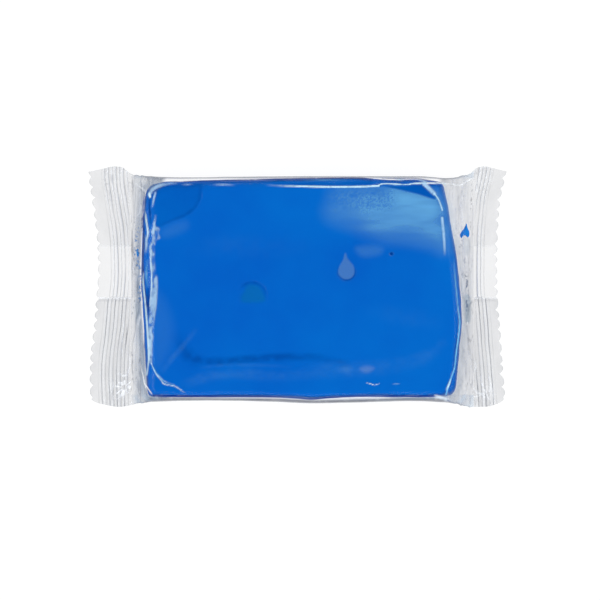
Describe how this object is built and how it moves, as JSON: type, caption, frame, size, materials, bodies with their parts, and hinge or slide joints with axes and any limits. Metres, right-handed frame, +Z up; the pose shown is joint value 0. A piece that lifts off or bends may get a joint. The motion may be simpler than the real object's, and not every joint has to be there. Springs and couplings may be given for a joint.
{
  "type": "clay bar",
  "caption": "Rectangular slab of blue detailing clay sealed in a clear flow-wrap film pouch with a back fin seal and crimped, saw-edged end seals that fold.",
  "frame": {"origin": "under the middle of the sealed pack, on the surface that it lies on", "axes": "+X along the bar's long side, from the left end seal to the right one; +Y across the bar, towards the edge that the back fin points at; +Z up, out of the flat front face"},
  "size_m": [0.105, 0.0602, 0.011],
  "materials": {
    "blue_clay": "smooth, slightly greasy",
    "clear_film": "clear, glossy, crinkled"
  },
  "bodies": {
    "pack": {"clay_bar": "blue_clay", "film_front_panel": "clear_film", "film_back_panel_fin_side": "clear_film", "film_back_panel_far_side": "clear_film", "clay_crumb_right": "blue_clay", "clay_crumb_left": "blue_clay"},
    "left_seal": {"left_end_seal": "clear_film"},
    "right_seal": {"right_end_seal": "clear_film"},
    "back_fin": {"back_fin_seal": "clear_film"}
  },
  "joints": [
    {"name": "left_seal_fold", "type": "hinge", "parent": "pack", "child": "left_seal", "pos_m": [-0.0417, 0, 0.0046], "axis": [0, 1, 0], "range_deg": [-90, 90], "stiffness_Nm_per_rad": 0.0005},
    {"name": "right_seal_fold", "type": "hinge", "parent": "pack", "child": "right_seal", "pos_m": [0.0439, 0, 0.0046], "axis": [0, -1, 0], "range_deg": [-90, 90], "stiffness_Nm_per_rad": 0.0005},
    {"name": "back_fin_lift", "type": "hinge", "parent": "pack", "child": "back_fin", "pos_m": [0, -0.0029, 0.0002], "axis": [-1, 0, 0], "range_deg": [0, 90], "stiffness_Nm_per_rad": 0.002}
  ]
}
